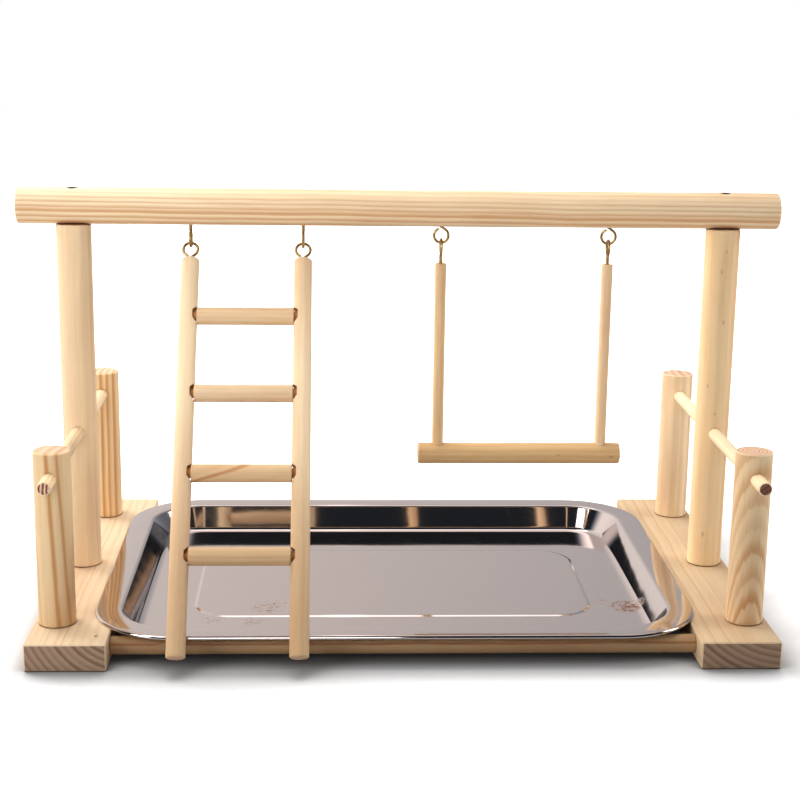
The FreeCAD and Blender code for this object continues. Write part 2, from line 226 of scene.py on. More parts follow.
def rgb(red, green, blue):
    """A colour as it looks on a screen, from 0 to 255, as the linear numbers that a shader wants."""
    def linear(part):
        part /= 255
        return part / 12.92 if part <= 0.04045 else ((part + 0.055) / 1.055) ** 2.4
    return (linear(red), linear(green), linear(blue), 1.0)


print("a finish can be written as arithmetic")

# %% [markdown]
# ## Pine
# A tree grows a pale band each spring and a narrow dark one each summer, in rings round its pith. A dowel
# is turned from a small piece of that log, so the marks on its side and on its ends are the same rings,
# met from two directions. A flat picture of wood would show that they don't join. Here the rings are real
# shells in space: each point asks how far it is from a pith that lies beside the dowel, and the pattern
# on the ends follows by itself.
#
# Where the pith lies decides what shows. To one side of the dowel, the front gets straight stripes. In
# front of it or behind, the rings lie flat and break out as tall arches, most of all when the log wasn't
# straight. So each piece of wood is described in a few words: its pith, its ring width, how strongly the
# summer bands show, and its knots.


# %% Colours of pine
SPRING = rgb(250, 224, 184)
SUMMER = rgb(214, 158, 104)
HEART = rgb(206, 148, 98)
DARK_FIBRE = rgb(184, 130, 84)
PALE_FIBRE = rgb(255, 238, 206)
PALE_EDGE = rgb(248, 222, 182)
KNOT = rgb(134, 84, 50)
# Painted shade for creases, and for joints where one part meets another.
CREVICE_SHADE = rgb(138, 80, 42)
# Painted shade for the drilled seats of the rungs and the rungs' ends in them.
SEAT_SHADE = rgb(204, 146, 88)
SAWN = (rgb(230, 196, 168), rgb(202, 154, 120))
print("the colours of pine, inside and sawn")

# %% [markdown]
# ### A stick and its marks
# A stick is measured in millimetres from its own middle, along its fibres and in two directions across
# them. So a pith, a knot or a drilled hole is placed as on a bench, whichever way the stick stands in the
# finished piece.

# %% Places in a stick, rings and knots
SEED_STEP = 17.3
WANDER = 0.011
FRAY = 1.2


class Stick:
    """Where a point lies in a piece of wood, in mm from its middle: across, over and along the fibres."""

    def __init__(self, finish, centre, grain, side, seed):
        point = finish.point()
        self.finish = finish
        self.across = finish.along(point, side / MM, centre)
        self.over = finish.along(point, grain.cross(side) / MM, centre)
        self.length = finish.along(point, grain / MM, centre)
        self.shift = seed * SEED_STEP

    def noise(self, fine, slow, *quality):
        """Noise that changes fine times per mm across the fibres and slow times along them."""
        along = self.length * slow + self.shift if slow else self.shift
        vector = self.finish.vector(self.across * fine, self.over * fine, along)
        return self.finish.noise(vector, *quality)

    def shifted_noise(self, fine, slow, *quality):
        """The same, moved across the fibres and not along them."""
        vector = self.finish.vector(self.across * fine + self.shift, self.over * fine, self.length * slow)
        return self.finish.noise(vector, *quality)

    def from_pith(self, pith, slope, waver):
        """How far a point is from the pith, which wavers along the piece."""
        angle = math.radians(pith[0])
        wander = self.finish.vector(self.length * WANDER + self.shift, 0.0, 0.0)
        wander = (self.finish.noise(wander, 1.0) - 0.5) * waver + pith[1]
        pith_across = self.length * slope[0] + wander * math.cos(angle)
        pith_over = self.length * slope[1] + wander * math.sin(angle)
        distance = ((self.across - pith_across) ** 2 + (self.over - pith_over) ** 2) ** 0.5
        return distance + (self.noise(0.5, 0.03, 3.0) - 0.5) * FRAY

    def from_spot(self, turn, place, reach, stretch):
        """How far a point is from a spot in the wood, which is drawn out along the fibres."""
        across = self.across - reach * math.cos(math.radians(turn))
        over = self.over - reach * math.sin(math.radians(turn))
        return (across ** 2 + over ** 2 + ((self.length - place) * stretch) ** 2) ** 0.5

    def from_bore(self, place):
        """How far a point is from the axis of a hole that is drilled straight across."""
        return ((self.length - place) ** 2 + self.over ** 2) ** 0.5


print("a stick knows its pith, its knots and its holes")

# %% The grain of one piece of wood
KNOT_STRETCH = 0.6
PIN_STRETCH = 0.55
SEAT_RADIUS = 6.1
SEAT_FLOOR = 3.0


def summer_bands(finish, distance, ring, bold, soft, even, bands, seed):
    """The late wood of each ring, from 0 to 1, how strong the ring is, and how dark the wood gets."""
    phase = distance / ring
    number = finish.math("FLOOR", phase)
    inside = phase - number
    strength = finish.random(number + seed) * (1 - even) + (0.25 + 0.75 * even)
    late = inside.rise(0.34 - 0.3 * soft, 0.86 - 0.2 * soft) * inside.rise(1.0, 0.95 - 0.22 * soft)
    dark = late * strength * bold
    for place, width, depth in bands:
        dark = dark + (abs(distance - place) / width).rise(1.0, 0.0) * depth
    return late, strength, finish.math("MINIMUM", dark, 1.0)


def pine(name, centre, grain, side, pith=(90, 60), ring=4.0, slope=(0, 0), bold=0.5, soft=0.6, even=0.0,
         bands=(), knots=(), pins=(), seats=(), tenon=None, tone=None, fade=None, sawn=SAWN, waver=3.0,
         seed=0):
    """Pine whose fibres run along grain. side is the direction across it that angles are measured from.

    All sizes are in mm and angles in degrees. pith is the pith's angle and distance, ring the mean width of
    a ring, slope how far the pith runs off sideways and upwards per unit of length, bold how dark the summer
    bands are, soft how they blend, even how alike they are and waver how far the pith wanders. Each of bands
    is (distance from the pith, width, strength), each of knots and pins (angle, place along, radius,
    distance from the middle). Each of seats is the (place along, side) of a drilled seat, and tenon the
    distance from the middle to a shoulder: both are painted brown, as painted shade in the seat and on the
    tenon from just before its shoulder. tone multiplies the whole colour. Where fade gives two places along,
    tone comes in more and more from the first to the second, as painted shade that deepens along the piece.
    sawn holds the light and the dark colour of the ends.
    """
    finish = Finish(bpy.data.materials.new(name))
    stick = Stick(finish, centre, grain, side, seed)
    distance = stick.from_pith(pith, slope, waver)
    marks = 0.0
    for turn, place, radius, reach in knots:
        near = stick.from_spot(turn, place, reach, KNOT_STRETCH) / radius
        distance = distance + near.rise(3.6, 0.5) * (radius * 1.6)
        marks = marks + near.rise(1.3, 0.5)
    for turn, place, radius, reach in pins:
        near = stick.from_spot(turn, place, reach, PIN_STRETCH) / radius
        marks = marks + near.rise(1.3, 0.4) * 0.35
    late, strength, dark = summer_bands(finish, distance, ring, bold, soft, even, bands, seed)

    drift = stick.shifted_noise(0.03, 0.008, 1.0)
    fleck = stick.shifted_noise(1.3, 0.02, 2.0)
    fibre = stick.noise(3.2, 0.05, 3.0, 0.6)
    pores = stick.noise(5.0, 0.0, 3.0, 0.7)
    end = abs(finish.along(finish.facing(), grain))
    cut = end.rise(0.8, 0.97)
    arris = end.rise(0.25, 0.5) * end.rise(0.97, 0.8)
    end_marks = (late * (0.3 + strength) + pores.rise(0.45, 0.75) * 0.35) * 0.8
    open_sky = finish.node("ShaderNodeAmbientOcclusion", {"samples": 6}, {"Distance": 2.2 * MM})["AO"]
    layers = [
        (dark, SUMMER),
        (drift.rise(0.4, 0.75) * 0.3, HEART),
        (fleck.rise(0.5, 0.75) * 0.16, HEART),
        (fibre.rise(0.4, 0.8) * 0.13, DARK_FIBRE),
        (fibre.rise(0.5, 0.2) * 0.25, PALE_FIBRE),
        (cut, finish.mix(end_marks, *sawn)),
        (arris * 0.35, PALE_EDGE),
    ]
    if knots or pins:
        layers.append((marks * 0.85, KNOT))
    # Painted shade: the wood turns brown where little open sky reaches it, in creases and joints.
    layers.append((open_sky.rise(0.8, 0.3) * 0.8, CREVICE_SHADE))
    # Painted shade: the rails' drilled seats, and each rung from its shoulder outwards, are painted brown.
    for place, way in seats:
        bored = stick.from_bore(place).rise(SEAT_RADIUS + 0.08, SEAT_RADIUS)
        layers.append((bored * (stick.across * way).rise(SEAT_FLOOR, SEAT_FLOOR + 0.2), SEAT_SHADE))
    if tenon is not None:
        layers.append((abs(stick.length).rise(tenon - 0.4, tenon), SEAT_SHADE))
    colour = SPRING
    for share, layer in layers:
        colour = finish.mix(share, colour, layer)
    if tone is not None:
        share = 1.0 - 0.6 * cut
        if fade is not None:
            share = share * stick.length.rise(*fade)
        colour = finish.mix(share, colour, finish.mix(1.0, colour, tone, "MULTIPLY"))
    return finish.surface({
        "Base Color": colour,
        "Roughness": 0.48 + fibre * 0.14 + cut * 0.12,
        "Specular IOR Level": 0.35,
        "Normal": finish.bump(fibre * 0.5 - dark * 0.5 + cut * pores, 0.05 * MM),
    })


def dress(node, finish):
    """Gives a piece of the model its finish."""
    nodes[node].data.materials.clear()
    nodes[node].data.materials.append(finish)


print("pine is ready to be cut")

# %% [markdown]
# ## One log, many pieces
# No two dowels in the stand look alike: the top perch has bold stripes along its front, the left rear
# post is striped like a sweet, the right front post shows an arch, and the rails of the ladder are almost
# plain. Each piece gets its own description. Angles are seen along the grain, and start at the side that
# is named for each group.

# %% Posts and top perch
POSTS = {
    "left_tall_post": dict(pith=(75, 70), ring=5.0, bold=0.2, soft=1.0, seed=1, tone=rgb(250, 246, 242)),
    "right_tall_post": dict(pith=(8, 60), ring=6.0, bold=0.2, soft=1.0, bands=((53, 3.5, 0.45),), seed=2,
                            tone=rgb(254, 249, 236),
                            pins=((-88, 108, 0.8, 12), (-100, 94, 1.0, 12), (-84, 58, 1.1, 12),
                                  (-125, 12, 0.9, 12), (-95, -8, 0.8, 12), (-112, -98, 1.2, 12))),
    "left_front_post": dict(pith=(-12, 62), ring=7.0, bold=0.25, soft=1.0, slope=(-0.045, 0),
                            bands=((60, 2.4, 0.95), (53.5, 1.4, 0.7), (72, 1.5, 0.4)), seed=3,
                            tone=rgb(234, 228, 216)),
    "left_rear_post": dict(pith=(-5, 45), ring=4.7, bold=1.1, soft=0.35, even=0.7, waver=1.0, seed=4,
                           tone=rgb(255, 250, 234)),
    "right_front_post": dict(pith=(97, 9), ring=2.5, bold=0.75, soft=0.6, slope=(0.0, -0.15), waver=1.0,
                             seed=5, tone=rgb(238, 236, 230)),
    "right_rear_post": dict(pith=(0, 60), ring=6.0, bold=0.25, soft=1.0, bands=((51, 1.8, 0.6),), seed=6),
}
for node, look in POSTS.items():
    dress(node, pine(f"pine_{node}", middle(node), UP, RIGHT, **look))
dress("top_perch", pine("pine_top_perch", middle("top_perch"), RIGHT, BACK, pith=(88, 66), ring=3.3,
                        bold=0.78, soft=0.6, even=0.6, slope=(0.0, -0.008), waver=2.4, seed=7,
                        bands=((70.5, 2.4, 0.45), (59, 9, -0.42)), pins=((195, 88, 0.5, 12.5),)))
print(f"{len(POSTS)} posts and the top perch")

# %% Boards, crossbars and side perches
BOARD_ENDS = (rgb(178, 148, 122), rgb(134, 104, 82))
LEFT_PERCH_ENDS = (rgb(116, 54, 38), rgb(240, 204, 172))
RIGHT_PERCH_ENDS = (rgb(104, 62, 46), rgb(150, 104, 82))
# The boards' tones darken them as painted shade, the right board more than the left.
BOARDS = {
    "left_base_board": dict(pith=(-42, 52), ring=4.4, bold=0.22, soft=0.7, seed=8, tone=rgb(231, 229, 230),
                            bands=((48, 0.8, 0.5), (57, 0.7, 0.4)), knots=((-28, -143, 1.2, 20),)),
    "right_base_board": dict(pith=(-62, 70), ring=4.6, bold=0.22, soft=0.7, slope=(0.01, 0), seed=9,
                             tone=rgb(211, 206, 201),
                             bands=((66, 0.8, 0.45), (71.5, 0.7, 0.4), (60, 0.6, 0.35))),
}
for node, look in BOARDS.items():
    dress(node, pine(f"pine_{node}", middle(node), BACK, RIGHT, sawn=BOARD_ENDS, **look))
# The front crossbar's tone darkens it: painted shade, as it lies under the tray's rim.
RODS = {
    "front_crossbar": (RIGHT, BACK, dict(pith=(80, 40), ring=4.0, bold=0.5, bands=((39, 1.2, 0.5),),
                                         seed=10, tone=rgb(178, 160, 142), knots=((190, -150, 2.2, 6),))),
    "rear_crossbar": (RIGHT, BACK, dict(pith=(60, 40), ring=4.0, bold=0.4, seed=11)),
    "left_side_perch": (BACK, RIGHT, dict(pith=(4, 24), ring=2.4, bold=0.5, soft=0.2, even=0.8, seed=12,
                                          waver=0.5, sawn=LEFT_PERCH_ENDS)),
    "right_side_perch": (BACK, RIGHT, dict(pith=(50, 22), ring=2.8, bold=0.35, soft=0.4, seed=13, waver=0.5,
                                           sawn=RIGHT_PERCH_ENDS)),
}
for node, (grain, side, look) in RODS.items():
    dress(node, pine(f"pine_{node}", middle(node), grain, side, **look))
print(f"{len(BOARDS)} boards and {len(RODS)} rods")

# %% Ladder and swing
# Each rail's tone comes in more and more towards its foot: painted shade, darker lower down.
SLANT = {
    "ladder_left_rail": dict(pith=(70, 60), ring=4.5, bold=0.2, soft=1.0, seed=14,
                             tone=rgb(210, 198, 184), fade=(60, -160)),
    "ladder_right_rail": dict(pith=(30, 60), ring=4.5, bold=0.25, soft=1.0, seed=15,
                              tone=rgb(206, 192, 176), fade=(60, -130)),
}
rungs = [f"ladder_rung_{number}" for number in (1, 2, 3, 4)]
for way, (node, look) in zip((1, -1), SLANT.items()):
    seats = [((middle(rung) - middle(node)).dot(RAIL) / MM, way) for rung in rungs]
    dress(node, pine(f"pine_{node}", middle(node), RAIL, RIGHT, seats=seats, **look))
# The rungs' tones darken from the top rung to the bottom one: painted shade.
CROSSWISE = {
    "ladder_rung_1": dict(pith=(85, 34), ring=3.0, bold=0.3, seed=16, tone=rgb(244, 238, 230)),
    "ladder_rung_2": dict(pith=(100, 40), ring=3.6, bold=0.3, seed=17, tone=rgb(240, 234, 230)),
    "ladder_rung_3": dict(pith=(92, 26), ring=9.0, bold=0.2, slope=(0.0, 0.33), bands=((20.5, 2.0, 0.95),),
                          seed=18, tone=rgb(229, 217, 204)),
    "ladder_rung_4": dict(pith=(75, 36), ring=3.4, bold=0.3, seed=19, tone=rgb(212, 198, 184)),
    "swing_perch": dict(pith=(95, 50), ring=4.0, bold=0.3, seed=20, tone=rgb(228, 212, 186),
                        pins=((186, 66, 1.1, 7.5), (178, 28, 0.8, 7.5))),
}
TENON = 5.0
low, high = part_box(rungs[0])
shoulder = (high.x - low.x) / 2 / MM - TENON
for node, look in CROSSWISE.items():
    tenon = shoulder if node in rungs else None
    dress(node, pine(f"pine_{node}", middle(node), RIGHT, BACK, tenon=tenon, **look))
SWING_TONES = (rgb(238, 227, 210), rgb(250, 242, 236))
for number, node in enumerate(("swing_left_rod", "swing_right_rod")):
    dress(node, pine(f"pine_{node}", middle(node), UP, RIGHT, pith=(20, 40), ring=3.4, bold=0.3, soft=0.9,
                     tone=SWING_TONES[number], seed=21 + number))
print(f"{len(SLANT)} rails, {len(CROSSWISE)} crosswise dowels and 2 swing rods")

# %% [markdown]
# ## Metals
# The tray is polished steel: it has hardly any colour of its own, and what makes it look real is what it
# mirrors. A pressed sheet is never quite flat, so a faint long wave bends the mirror image, fine
# scratches catch the light, and a few dried marks dull it. The wire of the screw eyes is brass that has
# gone dull, with a brown bloom in patches. The screws are dark coated steel.


# %% Steel, brass and coated steel
STEEL_COLOURS = (rgb(206, 196, 193), rgb(186, 175, 172))
DRIED = rgb(132, 84, 54)
TRAY_FLOOR = 3
DRIED_MARKS = ((160, -47, 15, 2.2), (143, -36, 9, 0.5), (-93, -50, 16, 0.8), (-84, -42, 8, 0.7),
               (-100, -74, 12, 0.5), (-128, -72, 12, 0.5))
SCRATCHES = (Vector((1, 0.3, 0.1)), Vector((0.2, 1, 0.1)), Vector((-0.8, 1, 0)))


def dried_marks(finish, point):
    """Where the tray has dried splashes, from 0 to 1. Each mark is (x, y, radius, strength), in mm."""
    speckle = finish.noise(point, 4.0, 0.8, scale=260.0).rise(0.46, 0.6)
    dried = 0.0
    for x, y, radius, strength in DRIED_MARKS:
        apart = finish.vectors("DISTANCE", point, Vector((x, y, TRAY_FLOOR)) * MM)["Value"]
        dried = dried + (apart / (radius * MM)).rise(1.0, 0.3) * strength
    return finish.math("MINIMUM", dried * speckle, 1.0)


def polished_steel():
    """Mirror steel with a slight wave, scratches and dried marks."""
    finish = Finish(bpy.data.materials.new("polished_steel"))
    point = finish.point()
    wave = finish.noise(point, 1.0, 0.5, scale=22.0)
    ripple = finish.noise(point, 2.0, 0.6, scale=160.0)
    steep = finish.along(finish.facing(), UP).rise(0.99, 0.8)
    buckle = finish.noise(point, 1.0, 0.5, scale=34.0)
    smear = finish.noise(point, 3.0, 0.65, scale=14.0).rise(0.52, 0.75)
    haze = finish.noise(point, 4.0, 0.7, scale=60.0)
    scratch = 0.0
    for direction in SCRATCHES:
        along = finish.along(point, direction * 12)
        across = finish.along(point, direction.cross(UP) * 900)
        scratch = scratch + finish.noise(finish.vector(along, across, 0.0), 1.0).rise(0.76, 0.82)
    dried = dried_marks(finish, point)
    height = wave * 0.9 + ripple * 0.02 + steep * buckle * 0.9 - scratch * 0.01
    return finish.surface({
        "Base Color": finish.mix(dried, finish.mix(haze * 0.25, *STEEL_COLOURS), DRIED),
        "Metallic": 1.0 - dried * 0.8,
        "Roughness": 0.05 + smear * 0.05 + haze * 0.03 + scratch * 0.15 + dried * 0.4,
        "Normal": finish.bump(height, 0.12 * MM),
    })


def dull_brass():
    """Brass wire with a brown bloom."""
    finish = Finish(bpy.data.materials.new("dull_brass"))
    point = finish.point()
    bloom = finish.noise(point, 3.0, 0.6, scale=420.0).rise(0.38, 0.66)
    grit = finish.noise(point, 2.0, 0.6, scale=2600.0)
    return finish.surface({
        "Base Color": finish.mix(bloom * 0.8, rgb(206, 172, 112), rgb(120, 88, 52)),
        "Metallic": 1.0,
        "Roughness": 0.24 + bloom * 0.16 + grit * 0.08,
        "Normal": finish.bump(grit, 0.02 * MM),
    })


def coated_steel():
    """Dark coated steel, worn in small spots."""
    finish = Finish(bpy.data.materials.new("coated_steel"))
    grit = finish.noise(finish.point(), 3.0, 0.7, scale=1500.0)
    return finish.surface({
        "Base Color": finish.mix(grit.rise(0.5, 0.75), rgb(52, 48, 44), rgb(92, 86, 78)),
        "Metallic": 0.8,
        "Roughness": 0.38 + grit * 0.2,
        "Normal": finish.bump(grit, 0.02 * MM),
    })


STEEL = polished_steel()
BRASS = dull_brass()
COATED = coated_steel()
print("steel, brass and coated steel")

# %% [markdown]
# ## Shapes that follow a rule
# Some shapes are easier to say than to draw. A pressed tray has one section all the way round. The wire
# of a screw eye keeps one distance from the middle of its ring, and then runs straight to its neck. A
# screw is a row of radii with a thread wound about it. Each of these is a Geometry Nodes tree with its
# sizes as named inputs: the tree makes the piece once, the piece becomes a plain mesh, and the tree's
# modifier goes.


# %% A shape tree
SHARP_ANGLE = math.radians(35)


class Shape(Tree):
    """A Geometry Nodes tree that makes one kind of piece. Its sizes are named inputs."""

    def __init__(self, name, material):
        super().__init__(bpy.data.node_groups.new(name, "GeometryNodeTree"))
        self.tree.interface.new_socket("Geometry", in_out="OUTPUT", socket_type="NodeSocketGeometry")
        self.entry = self.tree.nodes.new("NodeGroupInput")
        self.material = material
        self.inputs = {}

    def size(self, name, kind="NodeSocketFloat"):
        """A named input."""
        socket = self.tree.interface.new_socket(name, in_out="INPUT", socket_type=kind)
        self.inputs[name] = socket.identifier
        return Value(self, self.entry.outputs[name])

    def by_index(self, kind, items):
        """The first item for the first point, the second for the second, and so on."""
        made = self.tree.nodes.new("GeometryNodeIndexSwitch")
        made.data_type = kind
        while len(made.index_switch_items) < len(items):
            made.index_switch_items.new()
        index = self.node("GeometryNodeInputIndex")["Index"]
        for socket, value in zip(made.inputs, [index, *items]):
            if isinstance(value, Value):
                self.tree.links.new(value.socket, socket)
            else:
                socket.default_value = value
        return Value(self, made.outputs[0])

    def points(self, count, position):
        """A curve of count points, each at its own position."""
        line = self.node("GeometryNodeMeshLine", None, {"Count": count})["Mesh"]
        inputs = {"Geometry": line, "Position": position}
        placed = self.node("GeometryNodeSetPosition", None, inputs)["Geometry"]
        return self.node("GeometryNodeMeshToCurve", None, {"Mesh": placed})["Curve"]

    def bent(self, curve, radius, count):
        """The curve with each corner rounded."""
        inputs = {"Curve": curve, "Radius": radius, "Count": count}
        return self.node("GeometryNodeFilletCurve", {"mode": "POLY"}, inputs)["Curve"]

    def circle(self, radius, count):
        """A circle about the origin."""
        inputs = {"Radius": radius, "Resolution": count}
        return self.node("GeometryNodeCurvePrimitiveCircle", None, inputs)["Curve"]

    def sweep(self, path, section, scale=1.0, caps=False):
        """A section carried along a path."""
        inputs = {"Curve": path, "Profile Curve": section, "Scale": scale, "Fill Caps": caps}
        return self.node("GeometryNodeCurveToMesh", None, inputs)["Mesh"]

    def turned(self, heights, widths, circle):
        """A turned rod: a circle carried down a row of heights, as wide as the row of widths says."""
        places = self.by_index("VECTOR", [self.vector(0.0, 0.0, -1 * height) for height in heights])
        scale = self.by_index("FLOAT", widths)
        return self.sweep(self.points(len(heights), places), circle, scale, caps=True)

    def lifted(self, part, height):
        """A part moved up."""
        inputs = {"Geometry": part, "Translation": self.vector(0.0, 0.0, height)}
        return self.node("GeometryNodeTransform", None, inputs)["Geometry"]

    def join(self, *parts):
        """Several parts as one."""
        made = self.tree.nodes.new("GeometryNodeJoinGeometry")
        for part in parts:
            self.tree.links.new(part.socket, made.inputs[0])
        return Value(self, made.outputs[0])

    def each(self, points, instance, turn=(0, 0, 0)):
        """A copy of the instance at each point."""
        inputs = {"Points": points, "Instance": instance, "Rotation": turn}
        return self.node("GeometryNodeInstanceOnPoints", None, inputs)["Instances"]

    def end(self, geometry):
        """Realizes the copies, smooths the faces and sets the material."""
        real = self.node("GeometryNodeRealizeInstances", None, {"Geometry": geometry})["Geometry"]
        smooth = self.node("GeometryNodeSetShadeSmooth", None, {"Geometry": real})["Geometry"]
        inputs = {"Geometry": smooth, "Material": self.material}
        last = self.node("GeometryNodeSetMaterial", None, inputs)["Geometry"]
        self.node("NodeGroupOutput", None, {"Geometry": last})

    def make(self, name, sizes, sheet=None):
        """Runs the tree with its sizes, for a plain mesh. sheet is the thickness that a surface gets."""
        made = bpy.data.objects.new(name, bpy.data.meshes.new(name))
        bpy.context.scene.collection.objects.link(made)
        grown = made.modifiers.new("shape", "NODES")
        grown.node_group = self.tree
        for label, value in sizes.items():
            grown[self.inputs[label]] = value
        if sheet is not None:
            thick = made.modifiers.new("sheet", "SOLIDIFY")
            thick.thickness = sheet
            thick.use_even_offset = True
        plain = bpy.data.meshes.new_from_object(made.evaluated_get(bpy.context.evaluated_depsgraph_get()))
        made.modifiers.clear()
        made.data = plain
        plain.name = name
        plain.set_sharp_from_angle(angle=SHARP_ANGLE)
        return made


print("shape trees are ready")

# %% [markdown]
# ## The tray
# One section makes the rolled edge, the flat rim, the wall and the bend into the floor. It is carried
# round a rounded rectangle, and the floor fills what is left. A second, flatter section makes the raised
# panel that stiffens the floor. A place in a section is a distance from the rectangle, below zero on its
# inner side, and a height.

# %% Tray
FLAT = 8 * MM
LIP_BEND = 1.8 * MM
RIM_BEND = 3 * MM
FLOOR_BEND = 6 * MM
PANEL_BEND = 2 * MM
WELD = 0.02 * MM


def tray_tree():
    """The upper side of the tray."""
    shape = Shape("pressed_tray", STEEL)
    length, width, corner = shape.size("Length"), shape.size("Width"), shape.size("Corner")
    rim, lip, run = shape.size("Rim width"), shape.size("Lip"), shape.size("Wall run")
    top, floor_height = shape.size("Rim height"), shape.size("Floor height")
    panel_length, panel_width = shape.size("Panel length"), shape.size("Panel width")
    panel_corner = shape.size("Panel corner")
    rise, ramp = shape.size("Panel rise"), shape.size("Panel ramp")
    arc = shape.size("Points in a corner", "NodeSocketInt")
    bend = shape.size("Points in a bend", "NodeSocketInt")

    def rectangle(long, wide, radius):
        inputs = {"Width": long, "Height": wide}
        plain = shape.node("GeometryNodeCurvePrimitiveQuadrilateral", None, inputs)["Curve"]
        return shape.bent(plain, radius, arc)

    def section(places, radii):
        corners = [shape.vector(outward, -1 * height, 0.0) for outward, height in places]
        line = shape.points(len(places), shape.by_index("VECTOR", corners))
        return shape.bent(line, shape.by_index("FLOAT", radii), bend)

    def pressed(outline, line):
        return shape.node("GeometryNodeFlipFaces", None, {"Mesh": shape.sweep(outline, line)})["Mesh"]

    def filled(*outlines):
        return shape.node("GeometryNodeFillCurve", None, {"Curve": shape.join(*outlines)})["Mesh"]

    def inner(long, wide, radius, inset):
        return rectangle(long - 2 * inset, wide - 2 * inset, radius - inset)

    wall_top = -1 * rim
    wall_foot = wall_top - run
    rim_section = section(
        [(0.0, top - lip), (0.0, top), (wall_top, top), (wall_foot, floor_height),
         (wall_foot - FLAT, floor_height)],
        [0.0, LIP_BEND, RIM_BEND, FLOOR_BEND, 0.0])
    wall = pressed(rectangle(length, width, corner), rim_section)
    ramp_foot = -1 * PANEL_BEND
    panel_section = section(
        [(0.0, floor_height), (ramp_foot, floor_height), (ramp_foot - ramp, floor_height + rise),
         (ramp_foot - ramp - FLAT, floor_height + rise)],
        [0.0, PANEL_BEND, PANEL_BEND, 0.0])
    panel_outline = rectangle(panel_length, panel_width, panel_corner)
    step = pressed(panel_outline, panel_section)
    floor_edge = inner(length, width, corner, rim + run + FLAT)
    floor_part = shape.lifted(filled(floor_edge, panel_outline), floor_height)
    panel_edge = inner(panel_length, panel_width, panel_corner, PANEL_BEND + ramp + FLAT)
    panel = shape.lifted(filled(panel_edge), floor_height + rise)
    inputs = {"Geometry": shape.join(wall, step, floor_part, panel), "Distance": WELD}
    shape.end(shape.node("GeometryNodeMergeByDistance", None, inputs)["Geometry"])
    return shape


tray = tray_tree().make("pressed_tray", {
    "Length": 400 * MM, "Width": 300 * MM, "Corner": 56 * MM, "Rim width": 17 * MM, "Lip": 2 * MM,
    "Wall run": 11 * MM, "Rim height": 20.1 * MM, "Floor height": 2.7 * MM,
    "Panel length": 282 * MM, "Panel width": 146 * MM, "Panel corner": 28 * MM, "Panel rise": 0.8 * MM,
    "Panel ramp": 2 * MM, "Points in a corner": 24, "Points in a bend": 8,
}, sheet=0.6 * MM)
tray_middle = middle("tray")
tray.data.transform(Matrix.Translation((tray_middle.x, tray_middle.y, 0)))
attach(tray, "tray")
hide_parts("tray")
print(f"tray: {len(tray.data.polygons)} faces")

# %% [markdown]
# ## Screw eyes and screws
# The wire of a screw eye lies on a curve with a short rule in polar form: the ring's radius all round,
# and near the neck a straight line, which is the radius divided by the cosine of the angle still to go. A
# spiral with a sharp section makes the thread. Eyes come in pairs, so the tree sets a copy on each of two
# points.

# %% Screw eyes
RING = 5.0 * MM
WIRES_APART = 2.3 * MM
RAILS_APART = 77.5 * MM
RODS_APART = 117.0 * MM
RING_POINTS = 72
WIRE_SIDES = 14
SHANK_SIDES = 16
THREAD_STEPS = 20
THREAD_SIDES = 4
EYE_THREAD = {"pitch": 1.1 * MM, "depth": 0.22 * MM}


def thread(shape, radius, top, length, pitch, depth):
    """A sharp ridge wound about the Z axis, from top downwards."""
    inputs = {"Resolution": THREAD_STEPS, "Rotations": length / pitch, "Start Radius": radius,
              "End Radius": radius, "Height": length}
    wound = shape.node("GeometryNodeCurveSpiral", None, inputs)["Curve"]
    return shape.lifted(shape.sweep(wound, shape.circle(depth, THREAD_SIDES), caps=True), top - length)


def eye_wire(shape, ring, neck, gap):
    """The curve of an eye's wire: round the ring, and straight from it to the neck."""
    step = shape.node("GeometryNodeInputIndex")["Index"] / (RING_POINTS - 1.0)
    angle = step * (2 * math.pi - gap)
    from_neck = shape.math("MINIMUM", angle, 2 * math.pi - angle)
    to_go = shape.math("MAXIMUM", shape.math("ARCCOSINE", ring / neck) - from_neck, 0.0)
    reach = ring / shape.math("COSINE", to_go)
    sideways = shape.math("SINE", angle) * reach
    upward = shape.math("COSINE", angle) * reach * -1
    return shape.points(RING_POINTS, shape.vector(sideways, 0.0, upward))


def eye_tree():
    """A pair of screw eyes. Each has the middle of its ring on its own point, and its shank points down."""
    shape = Shape("screw_eyes", BRASS)
    ring, wire, neck = shape.size("Ring"), shape.size("Wire"), shape.size("Neck")
    shank, drop, bite = shape.size("Shank"), shape.size("Bare shank"), shape.size("Thread length")
    gap = shape.size("Gap at the tip")
    place, spacing = shape.size("Middle", "NodeSocketVector"), shape.size("Spacing")
    turn = shape.size("Turn", "NodeSocketVector")
    loop = shape.sweep(eye_wire(shape, ring, neck, gap), shape.circle(wire, WIRE_SIDES), caps=True)
    heights = [neck - shank, neck - shank * 0.75, neck - shank * 0.3, neck,
               neck + drop + bite * 0.85, neck + drop + bite]
    widths = [0.05, 0.62, 0.95, 1.0, 1.0, 0.2]
    rod = shape.turned(heights, widths, shape.circle(shank, SHANK_SIDES))
    wound = thread(shape, shank * 0.95, -1 * (neck + drop * 0.6), bite * 0.9, **EYE_THREAD)
    ends = [shape.vector(spacing * share, 0.0, 0.0) for share in (-0.5, 0.5)]
    inputs = {"Geometry": shape.points(2, shape.by_index("VECTOR", ends)), "Offset": place}
    pair = shape.node("GeometryNodeSetPosition", None, inputs)["Geometry"]
    shape.end(shape.each(pair, shape.join(loop, rod, wound), turn))
    return shape


eye_shape = eye_tree()
EYE = {"Ring": RING, "Wire": 1.0 * MM, "Neck": 6.2 * MM, "Shank": 1.2 * MM, "Thread length": 12 * MM,
       "Gap at the tip": 0.29}
